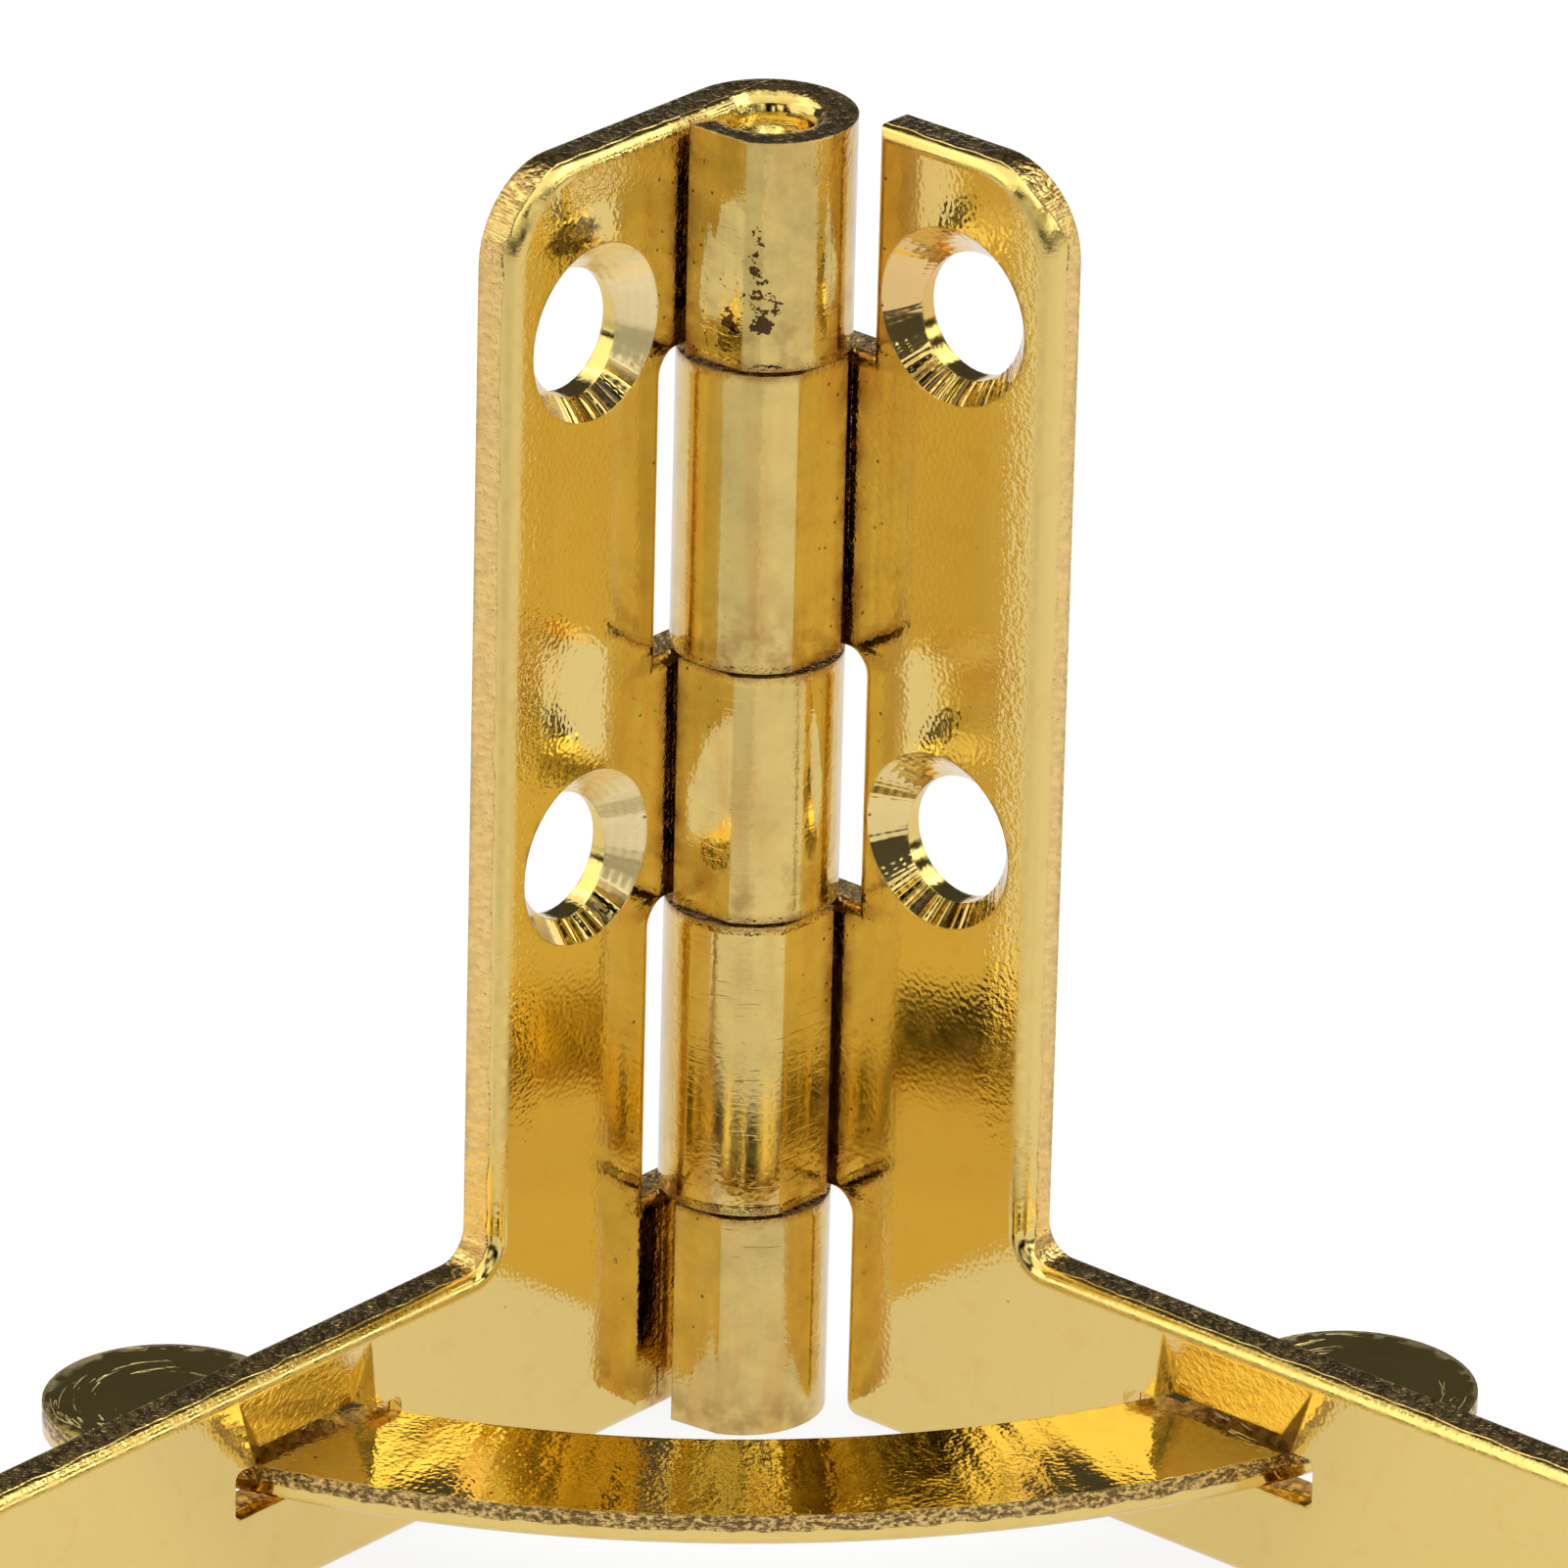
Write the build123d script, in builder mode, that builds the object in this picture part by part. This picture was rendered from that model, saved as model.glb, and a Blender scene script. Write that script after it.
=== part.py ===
from build123d import *
from math import asin, cos, degrees, radians, sin, sqrt, tan
import os

# A small box hinge with a curved stay, pressed from brass sheet and shown fully open.
# The pin stands on Z. The left leaf runs out along -X with its back to +Y, and the right leaf
# runs out along -Y with its back to +X. The backs lie against the wood, the screws go in from
# the V between the leaves, and Z is 0 at the foot of the barrel and of both arms.

# Leaves
sheet = 1.0
hinge_height = 30.0
plate_width = 7.0
plate_corner = 2.0
arm_length = 33.0
arm_height = 5.25
arm_corner = 2.0
crook_radius = 0.7
rolled_edge = 0.3
opening_angle = 90.0

# Barrel
barrel_diameter = 3.75
end_knuckle = 5.2
right_knuckle = 6.9
knuckle_gap = 0.1
curl_end = 22.0
foot_curl_end = 11.0
flat_start = -26.0
mouth_edge = 0.5
notch_gap = 0.3
notch_corner = 0.5
foot_corner = 0.35

# Pin
pin_gap = 0.025
pin_recess_top = 0.45
pin_recess_foot = 0.3
pin_chamfer = 0.15
pin_dimple_diameter = 0.7
pin_dimple_floor = 0.23
pin_dimple_depth = 0.25

# Screw holes, with countersinks that were cut a little above the holes
screw_hole = 2.72
countersink = 3.92
countersink_angle = 82.0
countersink_depth = 0.95
countersink_lift = 0.18
hole_reach = 4.4
right_hole_drop = 3.85
left_hole_drop = 4.15
hole_pitch = 12.0
arm_hole_from_end = 4.0

# Stay
stay_thickness = 0.7
stay_width = 3.6
stay_radius = 21.84
stay_reach = 10.1
stay_edge = 0.1
lobe_radius = 2.7
lobe_gap = 0.05
neck_radius = 0.3

# Slot and the tongue pressed out above it
slot_floor = 2.2
under_stay = 0.2
over_stay = 0.25
inner_play = 0.29
outer_play = 0.75
slot_corner = 0.2
tongue_press = 0.5
tongue_setback = 1.0
tongue_foot_length = 2.9
tongue_head_length = 4.1
tongue_slope = 0.2
tongue_head_press = 0.01

barrel_radius = barrel_diameter / 2
bore_radius = barrel_radius - sheet
half_opening = radians(opening_angle / 2)
notch_reach = barrel_radius + notch_gap
middle_knuckle = hinge_height - 2 * end_knuckle - 2 * right_knuckle
stay_centre_back = stay_radius - stay_reach
countersink_floor = countersink / 2 - countersink_depth * tan(radians(countersink_angle / 2))
slot_height = under_stay + stay_thickness + over_stay
slot_top = slot_floor + slot_height
tongue_top = arm_height - rolled_edge


def stay_crossing(edge_radius, depth):
    """How far out along an arm an edge of the stay crosses it, at a depth from the pin's centre."""
    across = depth - stay_centre_back * sin(half_opening)
    return sqrt(edge_radius**2 - across**2) - stay_centre_back * cos(half_opening)


slot_start = stay_crossing(stay_radius - stay_width / 2, bore_radius) - inner_play
slot_end = stay_crossing(stay_radius + stay_width / 2, barrel_radius) + outer_play

# Knuckle ends from the foot up: the left leaf owns the first, third and fifth knuckle
joints = [
    0.0,
    end_knuckle,
    end_knuckle + right_knuckle,
    end_knuckle + right_knuckle + middle_knuckle,
    hinge_height - end_knuckle,
    hinge_height,
]


def knuckle_span(index):
    """Lower and upper end of one knuckle, with half a gap left at each joint."""
    low = joints[index] + (knuckle_gap / 2 if index > 0 else 0)
    high = joints[index + 1] - (knuckle_gap / 2 if index < len(joints) - 2 else 0)
    return low, high


def notch_span(index):
    """The stretch of a leaf that is cut back for one knuckle of the other leaf."""
    low = joints[index] - (knuckle_gap / 2 if index > 0 else 0)
    high = joints[index + 1] + (knuckle_gap / 2 if index < len(joints) - 2 else 0)
    return low, high


def face_plane(depth):
    """A plane along the right leaf, facing into the V: local X runs out along the leaf, Y is up."""
    return Plane(origin=(depth, 0, 0), x_dir=(0, -1, 0), z_dir=(-1, 0, 0))


def plan_plane(height):
    """A level plane: local X runs out along the right leaf, and local Y towards its back."""
    return Plane(origin=(0, 0, height), x_dir=(0, -1, 0), z_dir=(0, 0, 1))


def leaf_outline(notches):
    """The L of the blank, cut back where the other leaf's knuckles turn."""
    with BuildSketch(face_plane(bore_radius)) as outline:
        Rectangle(plate_width, hinge_height, align=(Align.MIN, Align.MIN))
        Rectangle(arm_length, arm_height, align=(Align.MIN, Align.MIN))
        plate_tip = outline.vertices().group_by(Axis.Y)[-1].sort_by(Axis.X)[-1]
        fillet(plate_tip, plate_corner)
        arm_tips = outline.vertices().group_by(Axis.X)[-1]
        fillet(arm_tips, arm_corner)
        crook = outline.vertices().sort_by_distance((plate_width, arm_height))[0]
        fillet(crook, crook_radius)
        for index in notches:
            low, high = notch_span(index)
            with Locations((0, low)):
                Rectangle(notch_reach, high - low, align=(Align.MIN, Align.MIN), mode=Mode.SUBTRACT)
            if high < hinge_height:
                upper = outline.vertices().sort_by_distance((notch_reach, high))[0]
                fillet(upper, notch_corner)
            if low == 0:
                foot = outline.vertices().sort_by_distance((notch_reach, 0))[0]
                fillet(foot, foot_corner)
    return outline.sketch


def tongue_sections(depth):
    """Foot and head of the wedge by which the tongue is pressed out: deepest at the slot."""
    foot_start = slot_start + tongue_setback
    foot_end = foot_start + tongue_foot_length
    head_end = foot_start + tongue_head_length
    with BuildSketch(plan_plane(slot_top)) as foot:
        Polygon(
            (foot_start - tongue_slope, depth),
            (foot_end + tongue_press + tongue_slope, depth),
            (foot_end, depth + tongue_press),
            (foot_start, depth + tongue_press),
            align=None,
        )
    with BuildSketch(plan_plane(tongue_top)) as head:
        Polygon(
            (foot_start, depth),
            (head_end, depth),
            (head_end - tongue_head_press, depth + tongue_head_press),
            (foot_start + tongue_head_press, depth + tongue_head_press),
            align=None,
        )
    return [foot.sketch, head.sketch]


def curled_tongue(index):
    """One knuckle: the tongue leaves the back face, goes round the pin and ends beside its own leaf.

    The last of the tongue was never bent, so the barrel is flat just before the seam. The lowest
    knuckle is curled a little less than the others, and the two outer ends have rounded mouths.
    """
    low, high = knuckle_span(index)
    end = radians(foot_curl_end if index == 0 else curl_end)
    flat = radians(flat_start)
    reach = barrel_diameter
    with BuildPart() as knuckle:
        with BuildSketch(plan_plane(low)):
            Circle(barrel_radius)
            Circle(bore_radius, mode=Mode.SUBTRACT)
            Polygon(
                (0, 0),
                (reach * cos(end), reach * sin(end)),
                (reach, reach),
                (0, reach),
                align=None,
                mode=Mode.SUBTRACT,
            )
            Polygon(
                (barrel_radius * cos(end), barrel_radius * sin(end)),
                (barrel_radius * cos(flat), barrel_radius * sin(flat)),
                (reach, barrel_radius * sin(flat)),
                (reach, barrel_radius * sin(end)),
                align=None,
                mode=Mode.SUBTRACT,
            )
        extrude(amount=high - low)
        for is_mouth, height in ((index == 0, low), (high == hinge_height, high)):
            if is_mouth:
                rims = knuckle.edges().filter_by(GeomType.CIRCLE).filter_by_position(Axis.Z, height, height)
                fillet(rims.sort_by(SortBy.LENGTH)[0], mouth_edge)
    return knuckle.part


def rolled_leaf(own, notches, hole_drop):
    """One leaf in the right leaf's place: an L of sheet whose tongues are curled round the pin."""
    with BuildPart() as leaf:
        extrude(leaf_outline(notches), amount=-sheet)

        # The punch rounded the edge of the face that looks into the V
        seen_face = leaf.faces().sort_by(Axis.X)[0]
        rim = [edge for edge in seen_face.outer_wire().edges() if edge.center().Y < -rolled_edge]
        fillet(rim, rolled_edge)

        for index in own:
            add(curled_tongue(index))

        # Screw holes, countersunk from the V
        upper_hole = hinge_height - hole_drop
        for reach, height in (
            (hole_reach, upper_hole),
            (hole_reach, upper_hole - hole_pitch),
            (arm_length - arm_hole_from_end, arm_height / 2),
        ):
            with Locations(face_plane(bore_radius)):
                with Locations((reach, height)):
                    Hole(radius=screw_hole / 2, depth=sheet)
                with Locations((reach, height + countersink_lift)):
                    Cone(
                        bottom_radius=countersink_floor,
                        top_radius=countersink / 2,
                        height=countersink_depth,
                        align=(Align.CENTER, Align.CENTER, Align.MAX),
                        mode=Mode.SUBTRACT,
                    )

        # Slot for the stay, with the metal above it pressed outwards
        with BuildSketch(face_plane(bore_radius)):
            with Locations(((slot_start + slot_end) / 2, slot_floor + slot_height / 2)):
                RectangleRounded(slot_end - slot_start, slot_height, slot_corner)
        extrude(amount=-sheet, mode=Mode.SUBTRACT)
        loft(tongue_sections(bore_radius), mode=Mode.SUBTRACT)
        loft(tongue_sections(barrel_radius))
    return leaf.part


with BuildPart() as right_leaf:
    add(rolled_leaf(own=[1, 3], notches=[0, 2, 4], hole_drop=right_hole_drop))

# The left leaf mirrors the right one across the plane that halves the opening
with BuildPart() as left_leaf:
    left_form = rolled_leaf(own=[0, 2, 4], notches=[1, 3], hole_drop=left_hole_drop)
    add(mirror(left_form, about=Plane((0, 0, 0), z_dir=(1, -1, 0))))

# The pin sits a little below both mouths of the barrel and has a centre dimple in each end
with BuildPart() as hinge_pin:
    pin_radius = bore_radius - pin_gap
    pin_top = hinge_height - pin_recess_top
    with BuildSketch(Plane.XY.offset(pin_recess_foot)):
        Circle(pin_radius)
    extrude(amount=pin_top - pin_recess_foot)
    chamfer(hinge_pin.edges().filter_by(GeomType.CIRCLE), pin_chamfer)
    for end, taper_up in ((pin_top, False), (pin_recess_foot, True)):
        tip = Plane((0, 0, end), z_dir=(0, 0, 1 if taper_up else -1))
        with BuildSketch(tip):
            Circle(pin_dimple_diameter / 2)
        with BuildSketch(tip.offset(pin_dimple_depth)):
            Circle(pin_dimple_floor / 2)
        loft(mode=Mode.SUBTRACT)

# The stay is one flat strap cut on a curve. It passes through both arms, and its round ends stop
# against their backs when the hinge is fully open.
lobe_depth = barrel_radius + lobe_gap + lobe_radius
lobe_angle = opening_angle / 2 + degrees(
    asin((lobe_depth - stay_centre_back * sin(half_opening)) / stay_radius)
)
with BuildPart() as stay:
    stay_plane = Plane(origin=(0, 0, slot_floor + under_stay), x_dir=(-1, -1, 0), z_dir=(0, 0, 1))
    with BuildSketch(stay_plane) as strap:
        with Locations((-stay_centre_back, 0)):
            Circle(stay_radius + stay_width / 2)
            Circle(stay_radius - stay_width / 2, mode=Mode.SUBTRACT)
            # A wedge longer than the strap's circle cuts it off at the middle of each lobe
            wedge = 2 * stay_radius
            side = wedge * tan(radians(lobe_angle))
            Polygon((0, 0), (wedge, side), (wedge, -side), align=None, mode=Mode.INTERSECT)
            with PolarLocations(stay_radius, 2, start_angle=-lobe_angle, angular_range=4 * lobe_angle):
                Circle(lobe_radius)
        fillet(strap.vertices(), neck_radius)
    extrude(amount=stay_thickness)
    chamfer(stay.faces().sort_by(Axis.Z)[0].edges(), stay_edge)

os.makedirs("parts", exist_ok=True)

left_leaf.part.label = "left_leaf"
export_step(left_leaf.part, "parts/left_leaf.step")
right_leaf.part.label = "right_leaf"
export_step(right_leaf.part, "parts/right_leaf.step")
hinge_pin.part.label = "hinge_pin"
export_step(hinge_pin.part, "parts/hinge_pin.step")
stay.part.label = "stay"
export_step(stay.part, "parts/stay.step")
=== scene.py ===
# %% [markdown]
# # A small gilt box hinge
# The hinge stands on its foot, open at a right angle. Its pieces were drawn as solids in a CAD model.
# They could be drawn again in Blender, but then two descriptions of one object would have to agree.
# So the solids are loaded and never moved, and this lesson adds their finishes, light and a camera.
# %% Load the solids
import math

import bpy
from mathutils import Matrix, Vector

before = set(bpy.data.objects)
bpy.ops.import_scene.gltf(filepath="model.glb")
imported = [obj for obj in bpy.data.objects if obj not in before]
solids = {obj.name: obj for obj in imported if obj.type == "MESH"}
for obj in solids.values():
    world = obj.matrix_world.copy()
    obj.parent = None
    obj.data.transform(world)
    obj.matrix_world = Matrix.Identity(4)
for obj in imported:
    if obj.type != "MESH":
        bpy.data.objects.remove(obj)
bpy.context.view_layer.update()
print("solids:", sorted(solids))

# %% [markdown]
# ## The camera
# A camera close by with a wide lens would swell the ends of the arms. A long lens from a third of a
# metre away keeps the two plates almost parallel. The camera looks down into the V, and is rolled by
# a little over a degree, as a camera held by hand would be.
# %% Camera
millimetre = 0.001
camera_place = Vector((-225.23, -191.64, 145.84)) * millimetre
camera_target = Vector((0.4175, -0.4929, 14.601)) * millimetre
camera_roll = math.radians(1.424)
camera_lens = 347.98
sensor_width = 36
nearest_seen = 10 * millimetre

forward = (camera_target - camera_place).normalized()
level_right = forward.cross(Vector((0, 0, 1))).normalized()
level_up = level_right.cross(forward)
right = level_right * math.cos(camera_roll) + level_up * math.sin(camera_roll)
up = level_up * math.cos(camera_roll) - level_right * math.sin(camera_roll)
camera = bpy.data.objects.new("camera", bpy.data.cameras.new("camera"))
camera.data.lens = camera_lens
camera.data.sensor_width = sensor_width
camera.data.clip_start = nearest_seen
camera_turn = Matrix((right, up, -forward)).transposed().to_4x4()
camera.matrix_world = Matrix.Translation(camera_place) @ camera_turn
bpy.context.scene.collection.objects.link(camera)
bpy.context.scene.camera = camera
print("camera distance in mm:", round((camera_target - camera_place).length / millimetre, 1))

# %% [markdown]
# ## Nodes in short
# Every finish below is a tree of shader nodes. They could be wired by hand in the shader editor, but
# a written recipe can be read from top to bottom, and one recipe serves both leaves. The first
# helper adds a node and fills in its inputs. The second does one step of arithmetic.
# %% One node
def put(tree, kind, inputs=None, **settings):
    """Adds one node, sets its options, and links or sets each named input."""
    node = tree.nodes.new("ShaderNode" + kind)
    for name, value in settings.items():
        setattr(node, name, value)
    for name, value in (inputs or {}).items():
        if isinstance(value, bpy.types.NodeSocket):
            tree.links.new(value, node.inputs[name])
        else:
            node.inputs[name].default_value = value
    return node


def step(tree, operation, *values):
    """One step of arithmetic on numbers or sockets."""
    return put(tree, "Math", dict(enumerate(values)), operation=operation).outputs[0]


print("ready: put, step")

# %% [markdown]
# Most of a recipe is shares between 0 and 1 that say where something is. Their product says where
# all of them are, and the largest of them says where any of them is. Sums gather up heights.
# %% Chains of arithmetic
def chain(tree, operation, values):
    """One operation over all the values, from the first to the last."""
    result = values[0]
    for value in values[1:]:
        result = step(tree, operation, result, value)
    return result


def product(tree, *values):
    """All the values multiplied."""
    return chain(tree, "MULTIPLY", values)


def total(tree, *values):
    """All the values added."""
    return chain(tree, "ADD", values)


def most(tree, *values):
    """The largest of the values."""
    return chain(tree, "MAXIMUM", values)


print("ready: product, total, most")

# %% [markdown]
# A hard limit between two finishes looks cut out, so each share fades in over a short way. A
# smooth step does that in one node, and also turns a share into any other pair of values.
# %% Fades and colours
def spread(tree, value, low, high, to_low=0.0, to_high=1.0):
    """Maps low to to_low and high to to_high smoothly, and stays level beyond them."""
    limits = {"From Min": low, "From Max": high, "To Min": to_low, "To Max": to_high}
    return put(tree, "MapRange", {"Value": value, **limits}, interpolation_type="SMOOTHSTEP").outputs[0]


def blend_colours(tree, share, first, second):
    """The first colour where share is 0, the second where it is 1."""
    return put(tree, "Mix", {0: share, 6: first, 7: second}, data_type="RGBA").outputs[2]


print("ready: spread, blend_colours")

# %% [markdown]
# Places and directions are vectors, three numbers that travel on one wire. These helpers take them
# apart, join them again and measure them. Each is one node with a plain name.
# %% Vectors
def on_vectors(tree, operation, *vectors):
    """One step of arithmetic on vectors."""
    return put(tree, "VectorMath", dict(enumerate(vectors)), operation=operation).outputs


def stretched(tree, place, factors):
    """A place multiplied along each direction, which draws noise out into streaks."""
    return on_vectors(tree, "MULTIPLY", place, factors)[0]


def dot(tree, first, second):
    """How far the first direction goes along the second."""
    return on_vectors(tree, "DOT_PRODUCT", first, second)["Value"]


def length(tree, vector):
    """How long a vector is."""
    return on_vectors(tree, "LENGTH", vector)["Value"]


def distance(tree, first, second):
    """How far apart two places are."""
    return on_vectors(tree, "DISTANCE", first, second)["Value"]


def split(tree, vector):
    """The three numbers of a vector."""
    return put(tree, "SeparateXYZ", {0: vector}).outputs


def joined(tree, first, second, third=0.0):
    """Three numbers as one vector."""
    return put(tree, "CombineXYZ", {0: first, 1: second, 2: third}).outputs[0]


print("ready: stretched, dot, length, distance, split, joined")

# %% [markdown]
# Old metal is never even. Pictures of wear could be wrapped round it, but they repeat and end at
# their edges. Noise is worked out anew at each point, so it has no seams and stays on the metal.
# %% Noise and specks
def grain(tree, place, scale, detail=2.0, roughness=0.5, warp=0.0):
    """Soft noise between 0 and 1, with scale features to the millimetre."""
    kind = {"Scale": scale, "Detail": detail, "Roughness": roughness, "Distortion": warp}
    return put(tree, "TexNoise", {"Vector": place, **kind}).outputs[0]


def speckles(tree, place, scale, size, share):
    """Round dots, scale cells to the millimetre, in the stated share of the cells."""
    cells = put(tree, "TexVoronoi", {"Vector": place, "Scale": scale, "Randomness": 1.0})
    drawn = put(tree, "SeparateColor", {0: cells.outputs["Color"]}).outputs[0]
    chosen = spread(tree, total(tree, drawn, share), 1.0, 1.02)
    return product(tree, spread(tree, cells.outputs["Distance"], size, size * 0.6), chosen)


print("ready: grain, speckles")

# %% [markdown]
# ## Gilt
# The pieces are brass under a thin layer of gold and a little clear lacquer. A plain yellow colour
# would look painted. Metal has next to no colour of its own and tints what it mirrors, so the shader
# is fully metallic and the soft boxes below do the rest. No edge is quite sharp either, and each
# catches light: the Bevel node rounds them raggedly in the shading, and the solid keeps its shape.
# %% Gilt
gilt = (0.86, 0.645, 0.18, 1.0)
orange_gilt = (0.80, 0.46, 0.10, 1.0)
painted_highlight_gilt = (1.0, 0.82, 0.40, 1.0)
# pit_brown is the near-black of the painted shade in pits and grooves, and of the painted dark
# reflection.
pit_brown = (0.045, 0.016, 0.004, 1.0)
edge_rounding = 0.07
raggedness = (0.5, 1.5)
bevel_samples = 2
lacquer = {"Coat Weight": 0.2, "Coat Roughness": 0.05}


def new_finish(name):
    """An empty material with its node tree."""
    finish = bpy.data.materials.new(name)
    finish.use_nodes = True
    finish.node_tree.nodes.clear()
    return finish


def metal(tree, colour, roughness, height, place, rounding=1.0, gloss=1.0):
    """Closes a recipe: lacquered metal with that colour, roughness and height in millimetres."""
    narrow, wide = (share * edge_rounding for share in raggedness)
    ragged = spread(tree, grain(tree, place, 3.0, 0.0), 0.35, 0.65, narrow, wide)
    radius = product(tree, ragged, rounding, millimetre)
    rounded = put(tree, "Bevel", {"Radius": radius}, samples=bevel_samples).outputs[0]
    relief = {"Height": height, "Distance": millimetre, "Strength": 1.0, "Normal": rounded}
    bump = put(tree, "Bump", relief).outputs[0]
    surface = {"Base Color": colour, "Metallic": gloss, "Roughness": roughness, "Normal": bump}
    shader = put(tree, "BsdfPrincipled", {**surface, **lacquer})
    tree.links.new(shader.outputs[0], put(tree, "OutputMaterial").inputs[0])


print("gilt:", gilt[:3], "edges rounded by about", edge_rounding, "mm")

# %% [markdown]
# ## The leaves
# Both leaves are punched from one kind of sheet and worn in the same way, so they share a recipe
# and differ by a few values. It is written in the leaf's own directions: how far out along the arm,
# how deep into the sheet, and how high. The left leaf runs along -X and the right one along -Y, so
# two coordinates change places. Object coordinates keep the finish on the metal as it turns.
# %% Leaf directions
def leaf_directions(tree, side):
    """Place in millimetres and surface direction, as (along the arm, depth of the sheet, height)."""
    texture = put(tree, "TexCoord").outputs
    along, depth = (0, 1) if side == "left" else (1, 0)
    results = []
    for output, factor in (("Object", 1 / millimetre), ("Normal", 1.0)):
        parts = split(tree, texture[output])
        turned = []
        for axis, sign in ((along, -1), (depth, 1), (2, 1)):
            turned.append(product(tree, parts[axis], sign * factor))
        results.append(joined(tree, *turned))
    return results


print("directions: along, depth, height")

# %% [markdown]
# Each step below finds out something about the surface or paints something on it. One long
# function could do it all, but short steps can be changed and tried one by one. So a leaf is a small
# record that the steps add to, and a helper runs each step for both leaves.
# %% Two leaves to work on
class Leaf:
    """One leaf: its side, its finish, and what each step below finds out about its surface."""


leaves = []
for side in ("left", "right"):
    leaf = Leaf()
    leaf.side = side
    leaf.finish = new_finish("gilt_" + side + "_leaf")
    leaf.tree = leaf.finish.node_tree
    leaf.place, leaf.facing = leaf_directions(leaf.tree, side)
    leaf.at = split(leaf.tree, leaf.place)
    leaves.append(leaf)


def on_both(title, add):
    """Adds a step to both leaves, and prints how large their trees have grown."""
    for leaf in leaves:
        add(leaf, leaf.tree, leaf.side, leaf.place, leaf.at)
    print(title, "- nodes so far:", [len(leaf.tree.nodes) for leaf in leaves])


print("leaves:", [leaf.side for leaf in leaves])

# %% [markdown]
# The surface's direction tells the faces of the sheet from its cut edges, and the distance from the
# pin tells the rolled knuckles from the flat. Selecting faces by hand could do the same, but the
# solids are made anew when a size changes, and then such a selection would be lost.
# %% Faces, edges and barrel
barrel_skin = 1.89
barrel_clear = 1.95


def find_surfaces(leaf, tree, side, place, at):
    """Finds how squarely the sheet is faced, how level the surface is, and the barrel."""
    directions = split(tree, leaf.facing)
    leaf.across = step(tree, "ABSOLUTE", directions[1])
    leaf.level = step(tree, "ABSOLUTE", directions[2])
    leaf.from_pin = length(tree, joined(tree, at[0], at[1]))
    upright = spread(tree, leaf.level, 0.9, 0.6)
    leaf.on_barrel = product(tree, spread(tree, leaf.from_pin, barrel_clear, barrel_skin), upright)
    leaf.off_barrel = spread(tree, leaf.from_pin, barrel_skin, barrel_clear)


on_both("surfaces", find_surfaces)

# %% [markdown]
# Two kinds of noise serve many steps: fine crumbs for everything that is rough to the touch, and a
# soft mottle for everything that is patchy. Marks that share a noise also belong together to the
# eye, and the render is quicker.
# %% Shared noise
crumb_scale = 5.6
mottle_scale = 1.1
harshness = 0.65


def add_noise(leaf, tree, side, place, at):
    """Adds the crumbs and the mottle."""
    leaf.crumbs = grain(tree, place, crumb_scale, 2.0, harshness)
    leaf.mottle = grain(tree, place, mottle_scale, 3.0, harshness)


on_both("shared noise", add_noise)

# %% [markdown]
# ## The countersinks
# Each leaf has three screw holes with a cone cut above them. Marks round a hole are drawn by their
# distance and direction from its centre. Three sets of marks would cost three times as much, so the
# nearest centre is found first, from the part of the leaf that the point is on.
# %% Screw holes
hole_reach = 4.4
lower_hole = {"left": 14.03, "right": 14.33}
hole_pitch = 12.0
arm_hole = (29.0, 2.8)
arm_begins = 16.0
upper_half = 20.0
hole_edge = 1.5
cone_edge = 2.2
cone_slant_from = (0.40, 0.55)
cone_slant_to = (0.95, 0.85)
fade = 0.1


def find_holes(leaf, tree, side, place, at):
    """Finds the nearest hole, the way to it, and where the holes and the cones are."""
    on_arm = step(tree, "GREATER_THAN", at[0], arm_begins)
    on_plate = step(tree, "SUBTRACT", 1.0, on_arm)
    raised = product(tree, step(tree, "GREATER_THAN", at[2], upper_half), hole_pitch)
    plate_height = total(tree, lower_hole[side], raised)
    leaf.hole_along = total(tree, hole_reach, product(tree, on_arm, arm_hole[0] - hole_reach))
    arm_height = product(tree, on_arm, arm_hole[1])
    leaf.hole_height = total(tree, product(tree, on_plate, plate_height), arm_height)
    out = step(tree, "SUBTRACT", at[0], leaf.hole_along)
    above = step(tree, "SUBTRACT", at[2], leaf.hole_height)
    spoke = joined(tree, out, above)
    leaf.spoke_length = length(tree, spoke)
    leaf.spoke_way = on_vectors(tree, "NORMALIZE", spoke)[0]
    leaf.in_hole = spread(tree, leaf.spoke_length, hole_edge + fade, hole_edge)
    not_cut = spread(tree, leaf.across, *cone_slant_from)
    slanted = product(tree, not_cut, spread(tree, leaf.across, *cone_slant_to))
    leaf.in_cone = product(tree, spread(tree, leaf.spoke_length, cone_edge + fade, cone_edge), slanted)


on_both("screw holes", find_holes)

# %% [markdown]
# A countersink keeps the marks of its cutter: fine rings, and radial chatter where the cutter
# caught. On the left leaf it caught hard, but only at the foot of each cone. On the right leaf the
# chatter is finer and runs round the lower half. Noise that is read by direction gives the chatter,
# because it then runs straight out from the centre.
# %% Cutter marks
cutter_caught = {
    "left": {"towards": (-0.15, -1.0, 0.0), "from": 0.78, "to": 0.92, "fineness": 4.0, "height": 0.50},
    "right": {"towards": (0.35, -1.0, 0.0), "from": 0.25, "to": 0.85, "fineness": 9.0, "height": 0.20},
}
ring_pitch = 45.0
ring_height = 0.0012


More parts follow.
